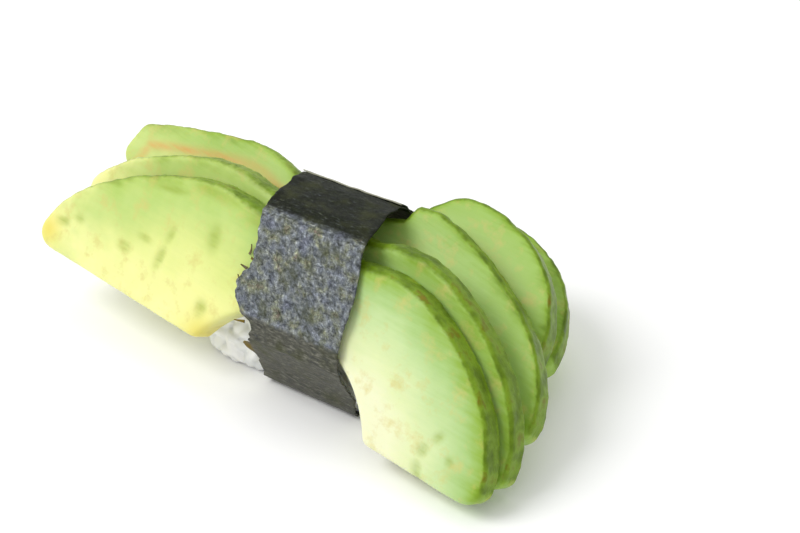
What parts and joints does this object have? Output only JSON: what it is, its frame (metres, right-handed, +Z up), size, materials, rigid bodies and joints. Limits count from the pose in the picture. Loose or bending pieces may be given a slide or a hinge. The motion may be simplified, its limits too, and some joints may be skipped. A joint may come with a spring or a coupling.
{
  "type": "avocado nigiri",
  "caption": "Avocado nigiri: fanned avocado slices leaning over a pressed rice bed, tied round the middle by a roasted seaweed band.",
  "frame": {"origin": "on the seaweed band's flat underside, near its middle, on the surface that the piece stands on", "axes": "+X along the rice bed towards the slices' broad ends that reach the table, +Y towards the back of the fan, +Z up"},
  "size_m": [0.0915, 0.0503, 0.0294],
  "materials": {
    "avocado_flesh": "ripe cut avocado flesh, cream to green towards the skin side, moist satin",
    "cooked_rice": "cooked short-grain rice, translucent white, moist",
    "roasted_seaweed": "roasted seaweed sheet, dark green-black, fibrous, semi-gloss"
  },
  "bodies": {
    "root": {"avocado_slice_1": "avocado_flesh", "avocado_slice_2": "avocado_flesh", "avocado_slice_3": "avocado_flesh", "avocado_slice_4": "avocado_flesh", "avocado_slice_5": "avocado_flesh", "rice_bed": "cooked_rice", "seaweed_band": "roasted_seaweed"}
  },
  "joints": []
}
